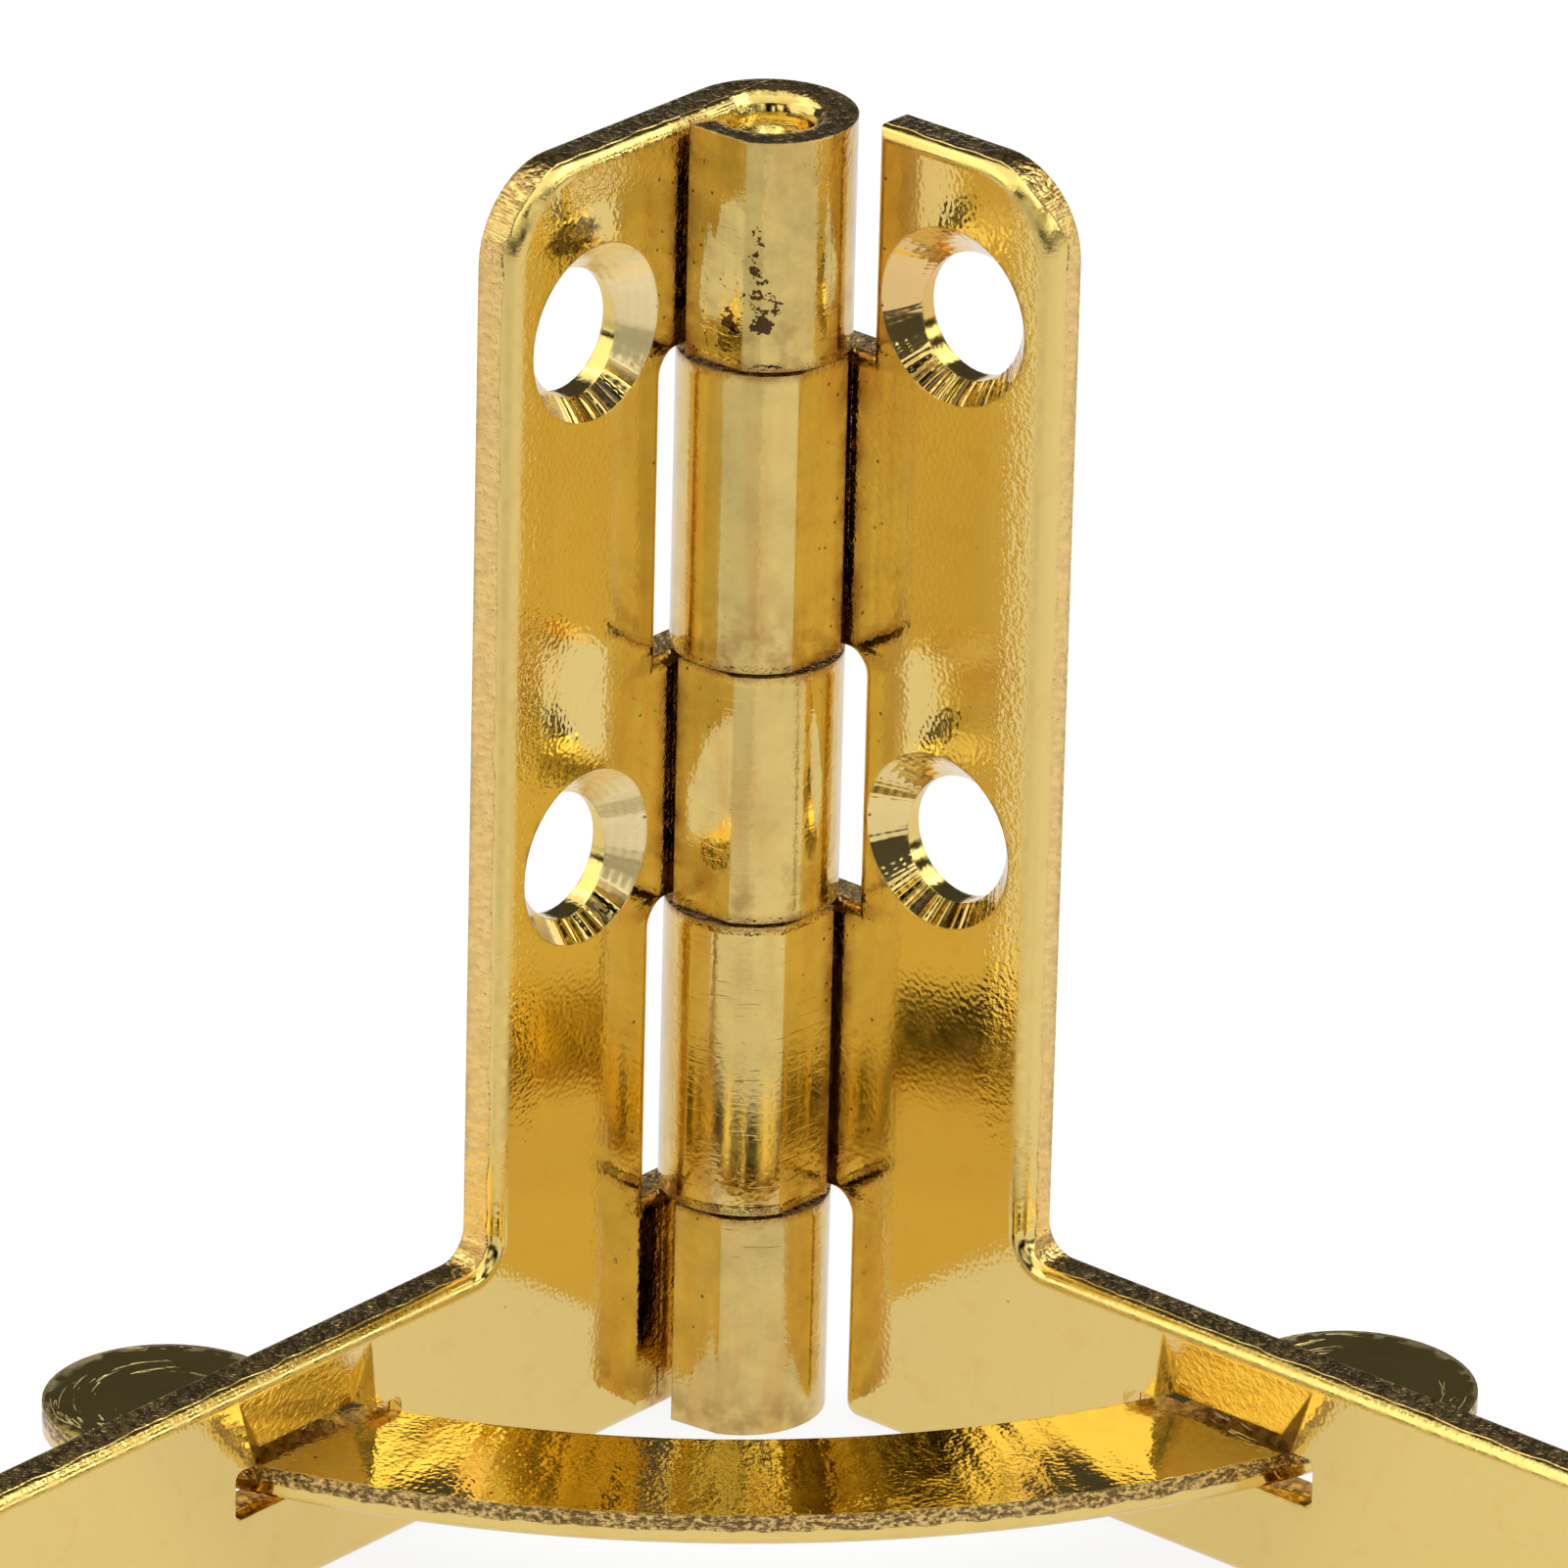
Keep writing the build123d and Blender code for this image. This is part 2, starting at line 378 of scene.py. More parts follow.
def mark_cones(leaf, tree, side, place, at):
    """Adds the cones' marks, painted shade in their grooves and the satin part that the cutter left
    clean.
    """
    wild = cutter_caught[side]
    facing_it = dot(tree, leaf.spoke_way, wild["towards"])
    caught = spread(tree, facing_it, wild["from"], wild["to"], 0.10, 1.0)
    by_hole = joined(tree, product(tree, leaf.spoke_length, 0.4), leaf.hole_height, leaf.hole_along)
    folds = grain(tree, by_hole, 1.0, 0.0)
    folded = on_vectors(tree, "ADD", leaf.spoke_way, joined(tree, folds, folds, folds))[0]
    chatter = grain(tree, folded, wild["fineness"], 1.0, 0.6)
    rings = product(tree, step(tree, "SINE", product(tree, leaf.spoke_length, ring_pitch)), ring_height)
    relief = total(tree, product(tree, chatter, caught, wild["height"]), rings)
    leaf.cone_marks = product(tree, leaf.in_cone, relief)
    # The deepest parts of the chatter are darkened later: painted shade in the grooves.
    deep = spread(tree, chatter, 0.50, 0.42)
    leaf.grooves = product(tree, deep, spread(tree, caught, 0.5, 0.9), leaf.in_cone)
    leaf.satin = product(tree, leaf.in_cone, spread(tree, caught, 0.8, 0.3))


on_both("cutter marks", mark_cones)

# %% [markdown]
# ## Cut edges
# A punch rounds the face that it enters, shears a smooth strip and then tears the rest. So the cut
# edge is smooth near the V and torn towards the back. Modelled tears would need very many faces and
# would show as no more than a texture at this size, so depth in the sheet chooses the torn part.
# %% Torn part
tear_starts = {"left": 1.28, "right": 1.50, "top": 1.26}
tear_wander = 0.2
torn_rings = 0.8
edge_turn = (0.3, 0.8)


def find_torn(leaf, tree, side, place, at):
    """Finds the torn part of the cut edges, and of the rings that end the knuckles."""
    edge_on = spread(tree, leaf.across, 0.25, 0.08)
    off_knuckle = most(tree, leaf.off_barrel, leaf.level)
    cut = product(tree, edge_on, off_knuckle, spread(tree, leaf.in_hole, 1.0, 0.0))
    ragged = product(tree, grain(tree, place, 1.6, 0.0), tear_wander)
    start = spread(tree, leaf.level, *edge_turn, tear_starts[side], tear_starts["top"])
    into_tear = step(tree, "SUBTRACT", total(tree, at[1], ragged), start)
    torn_edge = product(tree, spread(tree, into_tear, 0.0, 0.06), cut)
    facing_up = spread(tree, leaf.level, 0.8, 0.95)
    ring = product(tree, spread(tree, leaf.from_pin, barrel_clear, barrel_skin), facing_up)
    leaf.torn = most(tree, torn_edge, product(tree, ring, torn_rings))


on_both("torn edges", find_torn)

# %% [markdown]
# The tears are streaks across the sheet that lean a little, and they lie closer together on the
# upright edges than on the level ones. Noise squeezed along the sheet's depth draws them.
# %% Streaks
streak_scale = 8.0
streak_lean = 0.45
streak_lean_up = 0.2
streak_squeeze = (0.12, 0.35)


def add_streaks(leaf, tree, side, place, at):
    """Adds the leaning streaks of the torn part."""
    lean = total(tree, at[0], product(tree, at[1], streak_lean))
    lean_up = total(tree, at[2], product(tree, at[1], streak_lean_up))
    lean = product(tree, lean, spread(tree, leaf.level, *edge_turn, 1.0, 0.60))
    squeezed = product(tree, at[1], spread(tree, leaf.level, *edge_turn, *streak_squeeze))
    leaf.streaks = grain(tree, joined(tree, lean, squeezed, lean_up), streak_scale, 1.0, 0.6)


on_both("streaks", add_streaks)

# %% [markdown]
# ## The tongue
# Over each slot a tongue of the sheet is pressed out to the back, and the stay runs below it. The
# tool left it grained and duller than the plate, and it is painted paler as a highlight. It lies within
# a box of known size, so a share for each side of that box finds it.
# %% Pressed tongue
tongue_span = (10.6, 15.3)
tongue_heights = (3.3, 5.0)
behind_face = (0.885, 0.9)


def find_tongue(leaf, tree, side, place, at):
    """Finds the tongue."""
    near, far = tongue_span
    low, high = tongue_heights
    leaf.in_tongue = product(
        tree,
        spread(tree, at[0], near - fade, near),
        spread(tree, at[0], far + fade, far),
        spread(tree, at[2], low - fade, low),
        spread(tree, at[2], high, high - fade),
        spread(tree, at[1], *behind_face),
    )


on_both("tongue", find_tongue)

# %% [markdown]
# ## Brown polish
# Polish dries where a cloth can't reach: at the four joint lines of the barrel, in runs above them,
# and in the groove where a plate runs up to the barrel. A dirt map could be baked from the shape,
# but a new size would need a new map. Heights and distances need none, and the mottle breaks them up.
# %% Polish at the joints
joint_heights = (5.2, 12.1, 17.9, 24.8)
line_reach = (0.30, 0.05)
run_reach = (2.0, 0.2)
foot_run = (1.2, 0.2)
beside_barrel = (3.6, 2.0)


def find_joint_polish(leaf, tree, side, place, at):
    """Finds the polish at the joint lines and the stains above them."""
    lines = []
    runs = []
    for height in joint_heights:
        rise = step(tree, "SUBTRACT", at[2], height)
        lines.append(spread(tree, step(tree, "ABSOLUTE", rise), *line_reach))
        above = spread(tree, rise, -0.05, 0.0)
        runs.append(product(tree, spread(tree, rise, *run_reach), above))
    runs.append(spread(tree, at[2], *foot_run))
    near_barrel = spread(tree, at[0], *beside_barrel)
    leaf.near_joint = product(tree, most(tree, 0.0, *lines), near_barrel)
    patches = spread(tree, leaf.mottle, 0.44, 0.64)
    leaf.stains = product(tree, most(tree, 0.0, *runs), leaf.on_barrel, patches)


on_both("polish at the joints", find_joint_polish)

# %% [markdown]
# The groove is a line up the leaf, where the sheet begins to curl. A box round it would do, but the
# distance from that line fades evenly to both sides.
# %% Polish in the groove
groove_place = (1.66, 0.875, 0.0)
groove_reach = (0.65, 0.15)


def find_groove_polish(leaf, tree, side, place, at):
    """Finds the polish in the groove, and joins it with that at the joint lines."""
    leaf.to_groove = distance(tree, joined(tree, at[0], at[1]), groove_place)
    leaf.near_groove = spread(tree, leaf.to_groove, *groove_reach)
    patchy = spread(tree, leaf.mottle, 0.36, 0.60, 0.25, 1.0)
    leaf.tarnish = product(tree, most(tree, leaf.near_joint, leaf.near_groove), patchy)


on_both("polish in the groove", find_groove_polish)

# %% [markdown]
# ## Single marks
# The top knuckle was struck a few times near its foot and has a thin scar above. Nicks could be cut
# from the mesh, but the solids are to stay whole. So each is a round place with a reach, and one
# noise tears its outline: the nearer to the middle, the less noise it takes to be part of the nick.
# A squash below 1 draws a mark out in height.
# %% Nicks
nicks = (
    {"centre": (1.48, -1.16, 25.94), "reach": 0.50, "least": 0.38, "squash": 1.0},
    {"centre": (1.82, -0.45, 25.85), "reach": 0.55, "least": 0.38, "squash": 1.0},
    {"centre": (1.45, -1.19, 26.35), "reach": 1.00, "least": 0.53, "squash": 1.0},
    {"centre": (1.54, -1.09, 27.10), "reach": 0.40, "least": 0.50, "squash": 0.22},
)


def nick_share(tree, place):
    """The nicks and the scar, as a share of their full depth."""
    torn_by = grain(tree, stretched(tree, place, (4.5, 4.5, 5.5)), 1.0, 2.0, 0.75)
    marks = []
    for nick in nicks:
        along, depth, height = nick["centre"]
        reach = nick["reach"]
        squash = nick["squash"]
        squashed = stretched(tree, place, (1.0, 1.0, squash))
        gap = distance(tree, squashed, (along, depth, height * squash))
        needed = spread(tree, gap, reach, 0.2 * reach, 0.80, nick["least"])
        marks.append(spread(tree, step(tree, "SUBTRACT", torn_by, needed), 0.0, 0.05))
    return most(tree, 0.0, *marks)


print("nicks on the top knuckle:", len(nicks))

# %% [markdown]
# A dark reflection is painted inside the outer corner of the left plate, as a brown smudge. It is an
# oval with a crumbly outline, and a limit of depth keeps it off the plate's back.
# %% Painted dark reflection
smudge_place = (5.2, 28.4)
smudge_edge = (0.58, 0.36)
smudge_depth = (1.2, 1.0)
smudge_strength = 0.82


def smudge_share(leaf, tree, at):
    """The painted dark reflection, as a share of full dark."""
    along, height = smudge_place
    wide = product(tree, step(tree, "SUBTRACT", at[0], along), 0.6)
    high = product(tree, step(tree, "SUBTRACT", at[2], height), 1.3)
    crumbled = product(tree, step(tree, "SUBTRACT", leaf.crumbs, 0.5), 0.6)
    gap = total(tree, length(tree, joined(tree, wide, high)), crumbled)
    in_front = spread(tree, at[1], *smudge_depth)
    return product(tree, spread(tree, gap, *smudge_edge), in_front, smudge_strength)


def add_single_marks(leaf, tree, side, place, at):
    """Adds the nicks and the painted dark reflection, which only the left leaf has."""
    leaf.nick = nick_share(tree, place) if side == "left" else 0.0
    leaf.smudge = smudge_share(leaf, tree, at) if side == "left" else 0.0


on_both("single marks", add_single_marks)

# %% [markdown]
# ## Colour of the leaves
# Gold plating isn't one colour. It is more orange in soft patches, in upright bands on the barrel
# and at the top of the right plate near the V. The colour is built up as a painter would: the base
# first, and each later layer over it by its share.
# %% Base colour
warm_corner = {"left": 0.15, "right": 0.75}
painted_cone_highlight = {"left": 0.9, "right": 0.3}
painted_tongue_highlight = 0.35
band_orange = 0.70
patch_orange = 0.25


def paint_base(leaf, tree, side, place, at):
    """Paints gilt, its orange parts, and paler gilt on the cones and the tongue as painted highlights.
    """
    bands = grain(tree, stretched(tree, place, (1.6, 1.6, 0.22)), 1.0, 1.0, 0.6)
    fibres = grain(tree, stretched(tree, place, (5.0, 5.0, 0.5)), 1.0, 1.0, 0.5)
    fibres = spread(tree, fibres, 0.35, 0.65, 0.6, 1.0)
    banded = product(tree, spread(tree, bands, 0.46, 0.70), fibres, leaf.on_barrel, band_orange)
    by_v = spread(tree, at[0], 4.6, 2.6)
    corner = product(tree, by_v, spread(tree, at[2], 21.0, 27.0), leaf.off_barrel, warm_corner[side])
    patches = product(tree, spread(tree, leaf.mottle, 0.52, 0.74), patch_orange)
    colour = blend_colours(tree, total(tree, banded, corner, patches), gilt, orange_gilt)
    # The pale gilt on the satin of the cones and on the tongue is a painted highlight.
    colour = blend_colours(tree, product(tree, leaf.satin, painted_cone_highlight[side]), colour, painted_highlight_gilt)
    leaf.colour = blend_colours(tree, product(tree, leaf.in_tongue, painted_tongue_highlight), colour, painted_highlight_gilt)


on_both("base colour", paint_base)

# %% [markdown]
# Handling dulls the barrel, and most of all the knuckles at its ends. A separate finish for each
# knuckle could show that, but a share by height keeps the leaf in one recipe. The brown polish and
# its stains go over the patina.
# %% Patina and polish colour
dull_gilt = (0.43, 0.33, 0.10, 1.0)
tarnish_brown = (0.40, 0.19, 0.04, 1.0)
patina_everywhere = 0.20
patina_at_ends = 0.20
tarnish_strength = 0.75
stain_strength = 0.5


def paint_wear(leaf, tree, side, place, at):
    """Paints the patina of the barrel, the tarnish and the stains."""
    foot = spread(tree, at[2], 5.2, 5.0, 0.0, 0.5)
    end_knuckles = most(tree, spread(tree, at[2], 24.8, 25.0), foot)
    patina = total(tree, patina_everywhere, product(tree, end_knuckles, patina_at_ends))
    mottled = spread(tree, leaf.mottle, 0.3, 0.7, 0.4, 1.6)
    patina = product(tree, patina, leaf.on_barrel, mottled)
    tarnish = product(tree, leaf.tarnish, tarnish_strength)
    stains = product(tree, leaf.stains, stain_strength)
    colour = blend_colours(tree, patina, leaf.colour, dull_gilt)
    colour = blend_colours(tree, tarnish, colour, tarnish_brown)
    leaf.colour = blend_colours(tree, stains, colour, tarnish_brown)


on_both("patina and polish colour", paint_wear)

# %% [markdown]
# Between its ridges the torn metal holds polish too, and more of it shows on the level edges, where
# it could settle. Round pits come last and are darkest: dark dots of painted shade. They could be
# dents in the relief, but at this size a dark dot reads the same and costs less. More of them lie
# beside the groove.
# %% Torn edges, pits and marks colour
torn_gilt = (0.96, 0.66, 0.20, 1.0)
torn_brown = (0.34, 0.21, 0.05, 1.0)
brown_held = (0.22, 1.0)
pit_scale = 4.0
pit_size = 0.20
pit_shares = (0.012, 0.13)
darkness = {"pits": 0.75, "nicks": 0.95, "grooves": 0.8}


def paint_marks(leaf, tree, side, place, at):
    """Paints the torn edges, the nicks, painted shade in the pits and grooves, and the painted dark
    reflection.
    """
    held = spread(tree, leaf.level, *edge_turn, *brown_held)
    brown_share = product(tree, spread(tree, leaf.streaks, 0.30, 0.66), held)
    torn_colour = blend_colours(tree, brown_share, torn_gilt, torn_brown)
    colour = blend_colours(tree, leaf.torn, leaf.colour, torn_colour)
    pit_share = spread(tree, leaf.to_groove, 1.8, 0.9, *pit_shares)
    pits = speckles(tree, place, pit_scale, pit_size, pit_share)
    pits = product(tree, pits, spread(tree, leaf.torn, 1.0, 0.0))
    dark = most(
        tree,
        product(tree, pits, darkness["pits"]),
        product(tree, leaf.nick, darkness["nicks"]),
        product(tree, leaf.grooves, darkness["grooves"]),
        leaf.smudge,
    )
    leaf.colour = blend_colours(tree, dark, colour, pit_brown)


on_both("marks colour", paint_marks)

# %% [markdown]
# ## Polish of the leaves
# The sheet is nearly a mirror. Torn metal, tarnish, the tongue and the cones are duller, and so is
# a belt across each plate where a thumb rubs it. Each adds its own part to the roughness.
# %% Roughness
rubbed = {"left": 0.05, "right": 0.09}
cone_satin = {"left": 0.18, "right": 0.02}
belt_from = (5.6, 7.0)
belt_to = (11.5, 9.5)
mirror = (0.08, 0.03)
duller = {"torn": 0.14, "tarnish": 0.12, "barrel": 0.02, "tongue": 0.16}


def add_roughness(leaf, tree, side, place, at):
    """Adds up the roughness."""
    belt = product(tree, spread(tree, at[2], *belt_from), spread(tree, at[2], *belt_to), rubbed[side])
    leaf.roughness = total(
        tree,
        spread(tree, leaf.mottle, 0.3, 0.75, *mirror),
        product(tree, leaf.torn, duller["torn"]),
        product(tree, leaf.tarnish, duller["tarnish"]),
        product(tree, leaf.on_barrel, duller["barrel"]),
        product(tree, leaf.in_tongue, duller["tongue"]),
        belt,
        product(tree, leaf.satin, cone_satin[side]),
    )


on_both("roughness", add_roughness)

# %% [markdown]
# ## Relief of the leaves
# A Bump node bends the light as if the surface had these heights, all in millimetres. The sheet
# leans in by two degrees on the right leaf, as the mirror image in it shows: so little that it is
# given to the light only. The sheet is also slightly wavy, and stippled by its plating.
# %% Relief of the sheet
lean_in = {"left": 0.0, "right": 0.035}
wave_height = 0.008
stipple_height = 0.0026


def raise_sheet(leaf, tree, side, place, at):
    """Adds the lean, the waves and the stipple of the sheet."""
    leaf.sheet_relief = (
        product(tree, at[0], lean_in[side]),
        product(tree, grain(tree, place, 0.45, 0.0), wave_height),
        product(tree, grain(tree, place, 9.0, 0.0), stipple_height),
    )


on_both("relief of the sheet", raise_sheet)

# %% [markdown]
# A knuckle is curled in strokes, which leaves flat bands up its side with frayed limits. Turning
# against the next knuckle scratches it round about. Both come from noise that hardly changes in one
# direction: height for the bands, and the way round for the scratches.
# %% Relief of the barrel
facet_height = 0.045
facet_fray = 0.16
scratch_depth = -0.002
nick_depth = -0.08


def raise_barrel(leaf, tree, side, place, at):
    """Adds the bands, the scratches and the nicks of the knuckles."""
    fray = product(tree, step(tree, "SUBTRACT", leaf.crumbs, 0.5), facet_fray)
    drawn_up = product(tree, at[2], 0.03)
    frayed = joined(tree, total(tree, at[0], fray), total(tree, at[1], fray), drawn_up)
    scratches = grain(tree, stretched(tree, place, (1.2, 1.2, 9.0)), 1.0, 0.0)
    scratches = spread(tree, scratches, 0.62, 0.74)
    leaf.barrel_relief = (
        product(tree, grain(tree, frayed, 1.7, 1.0), leaf.on_barrel, facet_height),
        product(tree, scratches, leaf.on_barrel, scratch_depth),
        product(tree, leaf.nick, nick_depth),
    )


on_both("relief of the barrel", raise_barrel)

# %% [markdown]
# The rounded edge on the inner face runs up beside the plate and along the top of the arm. It is
# rougher than the sheet, as everything is that a tool has pressed, and so is a strip below the left
# plate's upper edge. The crumbs serve for all of it.
# %% Relief of the edges
plate_side = (5.5, 6.1)
beyond_plate = (7.3, 7.05)
above_arm = (6.0, 8.0)
arm_top = (4.7, 4.95)
beyond_corner = (8.5, 9.5)
upper_edge = (28.7, 29.3)
before_corner = (5.6, 5.0)
streak_height = 0.04
crumb_heights = {"torn": 0.03, "rolled": 0.010, "tongue": 0.017, "dirt": 0.05}
upper_edge_crumbs = {"left": 0.03, "right": 0.0}


def raise_edges(leaf, tree, side, place, at):
    """Adds the roughness to the touch of torn, rolled, pressed and dirty places."""
    leaf.beside = product(
        tree,
        spread(tree, at[0], *plate_side),
        spread(tree, at[0], *beyond_plate),
        spread(tree, at[2], *above_arm),
    )
    along_arm = product(tree, spread(tree, at[2], *arm_top), spread(tree, at[0], *beyond_corner))
    rolled = most(tree, leaf.beside, along_arm)
    under_edge = product(
        tree,
        spread(tree, at[2], *upper_edge),
        spread(tree, at[0], *before_corner),
        spread(tree, leaf.across, 0.6, 0.9),
    )
    dirty = most(tree, leaf.near_joint, product(tree, leaf.near_groove, 0.4))
    leaf.edge_relief = (
        product(tree, leaf.streaks, leaf.torn, streak_height),
        product(tree, leaf.crumbs, leaf.torn, crumb_heights["torn"]),
        leaf.cone_marks,
        product(tree, leaf.crumbs, rolled, crumb_heights["rolled"]),
        product(tree, leaf.crumbs, leaf.in_tongue, crumb_heights["tongue"]),
        product(tree, leaf.crumbs, dirty, crumb_heights["dirt"]),
        product(tree, leaf.crumbs, under_edge, upper_edge_crumbs[side]),
    )


on_both("relief of the edges", raise_edges)

# %% [markdown]
# Now the leaf can be closed. Beside the plate the punched edge is rounded more widely than
# elsewhere. The satin cones are painted paler as a highlight, but by colour alone they would still go
# dark where they mirror the dark studio. A little less metallic, they stay pale from every side.
# %% Close the leaves
side_rounding = {"left": 2.5, "right": 3.2}
matt_share = {"left": 0.45, "right": 0.10}


def close_leaf(leaf, tree, side, place, at):
    """Joins colour, roughness and relief in the shader."""
    relief = total(tree, *leaf.sheet_relief, *leaf.barrel_relief, *leaf.edge_relief)
    rounding = total(tree, 1.0, product(tree, leaf.beside, side_rounding[side]), leaf.near_joint)
    gloss = total(tree, 1.0, product(tree, leaf.satin, -matt_share[side]))
    metal(tree, leaf.colour, leaf.roughness, relief, place, rounding, gloss)


on_both("closed", close_leaf)

# %% [markdown]
# ## The stay
# The stay is a flat curved strap with a round lobe at each end. It was tumbled with its burrs on,
# so its cut edge is smooth below and torn above. The stay could share the leaves' recipe, but they
# tear from the V outwards and it tears upwards. So it has its own, in the hinge's X, Y and Z.
# %% Edge of the stay
stay_brown = (0.20, 0.12, 0.03, 1.0)
stay_tear = (2.82, 2.88)
stay_tear_wander = 0.22


def own_directions(tree):
    """Place in millimetres and surface direction in the hinge's own X, Y and Z."""
    texture = put(tree, "TexCoord").outputs
    return stretched(tree, texture["Object"], (1 / millimetre,) * 3), texture["Normal"]


stay = new_finish("gilt_stay")
tree = stay.node_tree
place, facing = own_directions(tree)
at = split(tree, place)
level = step(tree, "ABSOLUTE", split(tree, facing)[2])
cut = spread(tree, level, 0.5, 0.3)
wander = product(tree, grain(tree, place, 1.5, 2.0, 0.6), stay_tear_wander)
torn = product(tree, spread(tree, total(tree, at[2], wander), *stay_tear), cut)
crumbs = grain(tree, stretched(tree, place, (1.0, 1.0, 1.6)), 6.5, 2.0, 0.65)
print("the stay's edge takes", len(tree.nodes), "nodes")

# %% [markdown]
# Its colour is the leaves' gilt with orange patches, sparse pits of painted shade, and brown between
# the crumbs of the torn edge. It is a little duller than the leaves, as tumbling leaves it.
# %% Colour and roughness of the stay
stay_orange = 0.4
stay_pit_darkness = 0.9
stay_mirror = (0.06, 0.14)
stay_torn_duller = 0.2
pits = speckles(tree, place, 2.3, 0.12, 0.15)
patches = spread(tree, grain(tree, place, 0.6, 4.0, 0.6, 0.6), 0.50, 0.76)
torn_colour = blend_colours(tree, spread(tree, crumbs, 0.34, 0.60), torn_gilt, stay_brown)
colour = blend_colours(tree, product(tree, patches, stay_orange), gilt, orange_gilt)
colour = blend_colours(tree, torn, colour, torn_colour)
colour = blend_colours(tree, product(tree, pits, stay_pit_darkness), colour, pit_brown)
roughness = spread(tree, grain(tree, place, 1.1, 4.0), 0.3, 0.7, *stay_mirror)
roughness = total(tree, roughness, product(tree, torn, stay_torn_duller))
print("the stay's colour and roughness make it", len(tree.nodes), "nodes")

# %% [markdown]
# Its faces show bright and dark bands across the strap, because the blow of the punch bent them a
# little. A regular wave alone would look like a spring, so most of the bend is noise that is read
# by the turn about the centre of the strap's curve, with a small swaying wave over it.
# %% Waves of the stay
bend_centre = 8.3
wave_count = 44.0
wave_sway = 5.0
bend_count = 24.0
turn = step(tree, "ARCTAN2", total(tree, at[1], -bend_centre), total(tree, at[0], -bend_centre))
sway = product(tree, grain(tree, place, 0.5, 2.0), wave_sway)
waves = step(tree, "SINE", total(tree, product(tree, turn, wave_count), sway))
hammered = grain(tree, place, 7.0, 1.0)
bent = grain(tree, joined(tree, product(tree, turn, bend_count), 0.0), 1.0, 1.0)
print("the stay's waves:", wave_count, "to the radian")

# %% [markdown]
# The lobes have a few fine arcs round their centres, as if something hard had turned on them. They
# could be drawn one by one as circles, but would look drawn. Noise that is read by the distance
# from the nearer centre is looser, and another noise leaves most of the arcs out.
# %% Arcs on the lobes
lobe_centres = ((-13.23, 4.625, 0.0), (4.625, -13.23, 0.0))
flat_place = joined(tree, at[0], at[1])
from_lobe = step(tree, "MINIMUM", *[distance(tree, flat_place, centre) for centre in lobe_centres])
arc_place = joined(tree, product(tree, from_lobe, 5.5), product(tree, at[0], 0.5), at[1])
arcs = product(
    tree,
    spread(tree, grain(tree, arc_place, 1.0, 2.0, 0.7), 0.56, 0.64),
    spread(tree, from_lobe, 1.0, 1.6),
    spread(tree, from_lobe, 4.0, 3.0),
    spread(tree, grain(tree, place, 0.45, 2.0), 0.46, 0.60),
)
print("lobe centres in mm:", [centre[:2] for centre in lobe_centres])

# %% [markdown]
# The relief is summed in millimetres, and each part of it stays where it belongs: waves on the
# level faces, crumbs on the torn edge. The lobes lie open behind the arms, and their rims are worn
# rounder than the strap's.
# %% Close the stay
arc_depth = -0.016
hammered_height = 0.010
bent_height = 0.056
stay_wave_height = 0.012
stay_crumb_height = 0.06
strap_rounding = 1.4
lobe_rounding = 3.0
lobe_begins = (1.9, 2.1)
relief = total(
    tree,
    product(tree, arcs, level, arc_depth),
    product(tree, hammered, level, hammered_height),
    product(tree, bent, level, bent_height),
    product(tree, waves, level, stay_wave_height),
    product(tree, crumbs, torn, stay_crumb_height),
)
on_lobe = most(tree, spread(tree, at[0], *lobe_begins), spread(tree, at[1], *lobe_begins))
rounding = total(tree, strap_rounding, product(tree, on_lobe, lobe_rounding))
metal(tree, colour, roughness, relief, place, rounding)
print("the stay's finish has", len(tree.nodes), "nodes")

# %% [markdown]
# ## The pin
# The pin is drawn wire. Only its ends show, with faint rings from turning and soft lumps from the
# hammer, so noise and one sine round the axis are enough.
# %% Pin
turned_pitch = 60.0
turned_height = 0.0006
lump_height = 0.08
pin_mirror = (0.10, 0.24)

pin = new_finish("gilt_pin")
tree = pin.node_tree
place = own_directions(tree)[0]
at = split(tree, place)
from_centre = length(tree, joined(tree, at[0], at[1]))
rings = product(tree, step(tree, "SINE", product(tree, from_centre, turned_pitch)), turned_height)
lumps = product(tree, grain(tree, place, 2.6, 3.0), lump_height)
roughness = spread(tree, grain(tree, place, 2.0, 4.0), 0.3, 0.7, *pin_mirror)
metal(tree, gilt, roughness, total(tree, rings, lumps), place)
print("the pin's finish has", len(tree.nodes), "nodes")

# %% [markdown]
# ## Dressing the solids
# New meshes could be laid over the solids, but nothing on this hinge is finer than they are. So a
# solid keeps its shape and only changes the material in its slots.
# %% Assign the finishes
finishes = {leaf.side + "_leaf": leaf.finish for leaf in leaves}
finishes.update(stay=stay, hinge_pin=pin)
for name, finish in finishes.items():
    solid = solids[name]
    for slot in solid.material_slots:
        slot.material = finish
    print(name, "wears", finish.name, "on", len(solid.data.polygons), "faces")

# %% [markdown]
# ## The floor
# The hinge stands on a white sweep. More light would whiten it, but would also wash out the metal.
# So the sweep glows white to the camera and in the metal only. A tenth of it is ordinary matt
# white, which keeps the hinge's faint shadow.
# %% Floor
floor_half = 2.0
floor_drop = -0.05 * millimetre
floor_turns = ((-1, -1), (1, -1), (1, 1), (-1, 1))
floor_corners = [(x * floor_half, y * floor_half, floor_drop) for x, y in floor_turns]
floor_mesh = bpy.data.meshes.new("floor")
floor_mesh.from_pydata(floor_corners, [], [(0, 1, 2, 3)])
floor = bpy.data.objects.new("floor", floor_mesh)
bpy.context.scene.collection.objects.link(floor)
print("floor:", 2 * floor_half, "m square")

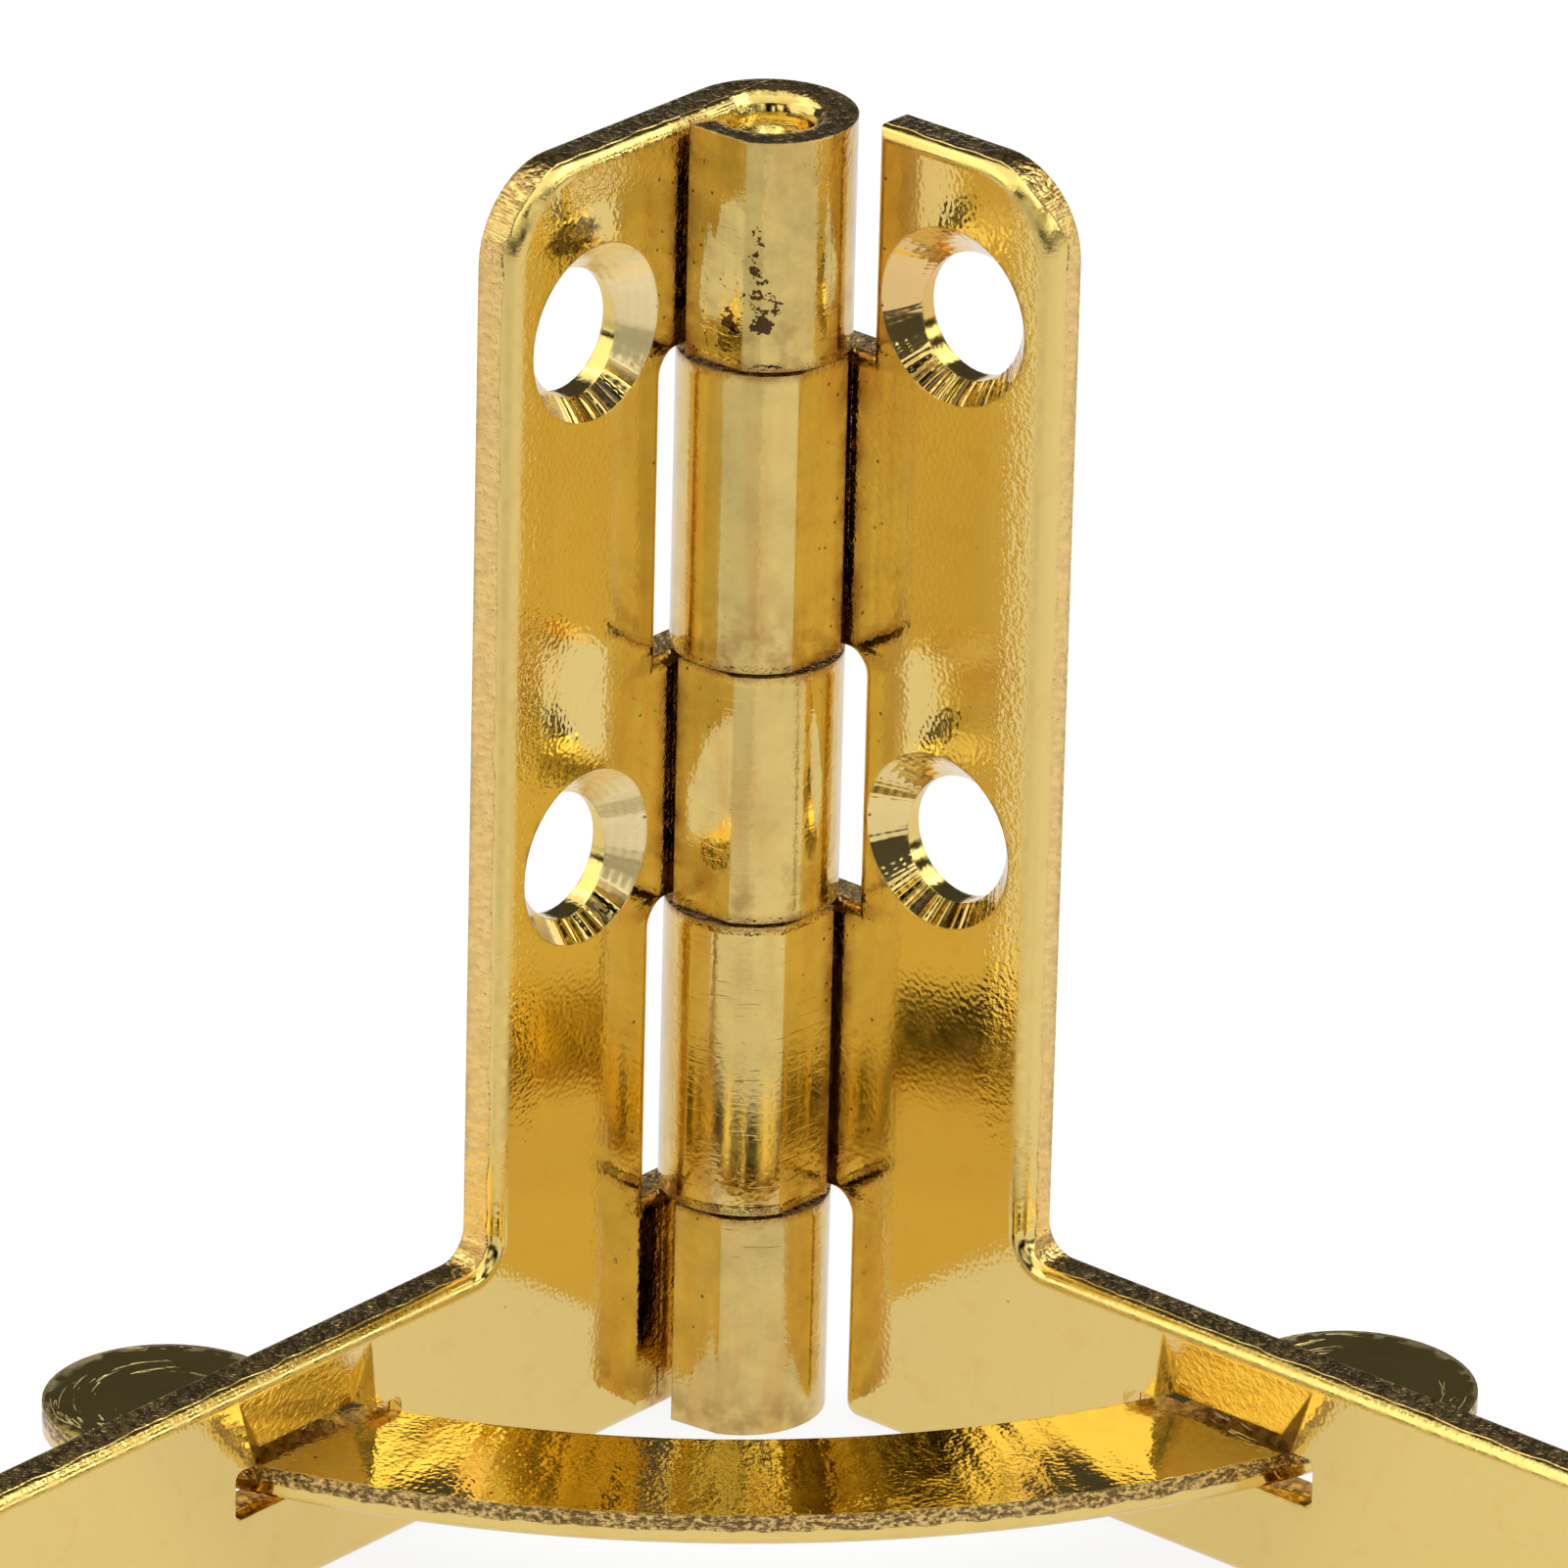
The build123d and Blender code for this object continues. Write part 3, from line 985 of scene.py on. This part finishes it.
# %% [markdown]
# In the metal the sweep is a little cooler, and greyer in front of the camera's left hand, as where
# a studio takes some light away. A sweep of one tone would be simpler, but that grey gives the
# plates their depth.
# %% Finish of the floor
away = Vector((0.763, 0.646, 0.0))
aside = Vector((0.646, -0.763, 0.0))
pure_white = (1.0, 1.0, 1.0, 1.0)
reflected_white = (1.0, 0.98, 1.15, 1.0)
matt_white = (0.9, 0.9, 0.9, 1.0)
glowing_share = 0.9
reflected_strength = 0.82
grey_from = (0.016, 0.036)
left_from = (0.002, -0.002)
grey_depth = (0.04, 0.20)

sweep = new_finish("white_sweep")
tree = sweep.node_tree
path = put(tree, "LightPath").outputs
floor_place = put(tree, "TexCoord").outputs["Object"]
in_front = spread(tree, dot(tree, floor_place, -away), *grey_from)
to_left = spread(tree, dot(tree, floor_place, aside), *left_from)
shade = spread(tree, to_left, 0.0, 1.0, *grey_depth)
tone = step(tree, "SUBTRACT", reflected_strength, product(tree, in_front, shade))
tone = most(tree, path["Is Camera Ray"], tone)
seen = most(tree, path["Is Camera Ray"], path["Is Glossy Ray"], path["Is Transmission Ray"])
matt = put(tree, "BsdfDiffuse", {"Color": matt_white})
tint = blend_colours(tree, path["Is Camera Ray"], reflected_white, pure_white)
glow = put(tree, "Emission", {"Color": tint, "Strength": tone})
glow_share = product(tree, seen, glowing_share)
cover = put(tree, "MixShader", {0: glow_share, 1: matt.outputs[0], 2: glow.outputs[0]})
tree.links.new(cover.outputs[0], put(tree, "OutputMaterial").inputs[0])
floor_mesh.materials.append(sweep)
print("the sweep's finish has", len(tree.nodes), "nodes")

# %% [markdown]
# ## The room
# Polished metal shows the room. Below the horizon the world is as white as the sweep. Above it the
# studio is dark, with large soft boxes. They could be lamps, but painting them into the sky keeps
# them sharp in the metal and free of noise. The metal is so near a mirror that its own reflections
# find them, so the sky isn't searched as a lamp too.
# %% World
world = bpy.data.worlds.new("studio")
world.use_nodes = True
world.cycles.sampling_method = "NONE"
bpy.context.scene.world = world
tree = world.node_tree
tree.nodes.clear()
path = put(tree, "LightPath").outputs
direction = put(tree, "TexCoord").outputs["Generated"]
climb = split(tree, direction)[2]
print("world:", world.name)

# %% [markdown]
# A soft box is a rectangle seen from the hinge. It has a direction, a height above the horizon,
# and half sizes at unit distance. The directions are projected onto its plane, and what falls
# within its edges is bright.
# %% Soft box
box_softness = 0.05
least_depth = 0.02


def soft_box(turn, height, half_width, half_height, radiance):
    """A soft box in the sky. Turn is 0 behind the hinge and 90 at the camera's right hand."""
    turn = math.radians(turn)
    height = math.radians(height)
    level_way = away * math.cos(turn) + aside * math.sin(turn)
    sideways = aside * math.cos(turn) - away * math.sin(turn)
    facing = level_way * math.cos(height) + Vector((0, 0, 1)) * math.sin(height)
    upright = Vector((0, 0, 1)) * math.cos(height) - level_way * math.sin(height)
    depth = dot(tree, direction, facing)
    ahead = spread(tree, depth, least_depth, 2 * least_depth)
    depth = most(tree, depth, least_depth)
    edges = []
    for way, half in ((sideways, half_width), (upright, half_height)):
        offset = step(tree, "ABSOLUTE", step(tree, "DIVIDE", dot(tree, direction, way), depth))
        edges.append(spread(tree, offset, half + box_softness, half - box_softness))
    return product(tree, ahead, edges[0], edges[1], radiance)


print("soft boxes fade over", 2 * box_softness)

# %% [markdown]
# The largest box hangs overhead and lights the level faces. Others stand at the sides for the
# plates, and narrow ones behind the camera draw the bright lines down the barrel. Even light from
# all round would be simpler, but metal under it looks like yellow paint.
# %% Sky
soft_boxes = (
    (0, 86, 0.70, 0.66, 1.2),
    (70, 52, 0.50, 0.24, 1.9),
    (-84, 36, 0.75, 0.40, 1.5),
    (-172, 26, 0.05, 0.22, 1.9),
    (-154, 30, 0.08, 0.25, 1.7),
    (154, 36, 0.12, 0.26, 1.6),
    (84, 22, 0.36, 0.11, 2.0),
    (128, 22, 0.16, 0.13, 1.6),
)
horizon_strength = 0.95
studio_strength = 0.06
horizon_band = (0.04, 0.14)
camera_side = (0.55, 0.75)
camera_side_share = 0.08

room = spread(tree, climb, *horizon_band, horizon_strength, studio_strength)
front = spread(tree, dot(tree, direction, -away), *camera_side)
room = product(tree, room, spread(tree, front, 0.0, 1.0, 1.0, camera_side_share))
below = product(tree, spread(tree, climb, 0.0, -0.02), horizon_strength)
room = most(tree, room, below)
lights = total(tree, *[soft_box(*box) for box in soft_boxes])
brightness = most(tree, path["Is Camera Ray"], room, lights)
background = put(tree, "Background", {"Color": pure_white, "Strength": brightness})
tree.links.new(background.outputs[0], put(tree, "OutputWorld").inputs[0])
print("soft boxes:", len(soft_boxes))

# %% [markdown]
# The matt share of the floor needs some light of its own, or the hinge's shadow would be lost. The
# sky could give it, but one large lamp overhead is quicker and smoother. The metal doesn't show it,
# because its light already comes from the soft boxes.
# %% Overhead lamp
lamp_side = 0.5
lamp_height = 0.7
lamp_watts = 2.4
lamp = bpy.data.lights.new("overhead", "AREA")
lamp.shape = "SQUARE"
lamp.size = lamp_side
lamp.energy = lamp_watts
overhead = bpy.data.objects.new("overhead", lamp)
overhead.location = (0.0, 0.0, lamp_height)
overhead.visible_glossy = False
bpy.context.scene.collection.objects.link(overhead)
print("lamp:", lamp_watts, "W at", lamp_height, "m")

# %% [markdown]
# ## View settings
# Colours are shown as written.
# %% Finish
bpy.context.scene.view_settings.view_transform = "Standard"
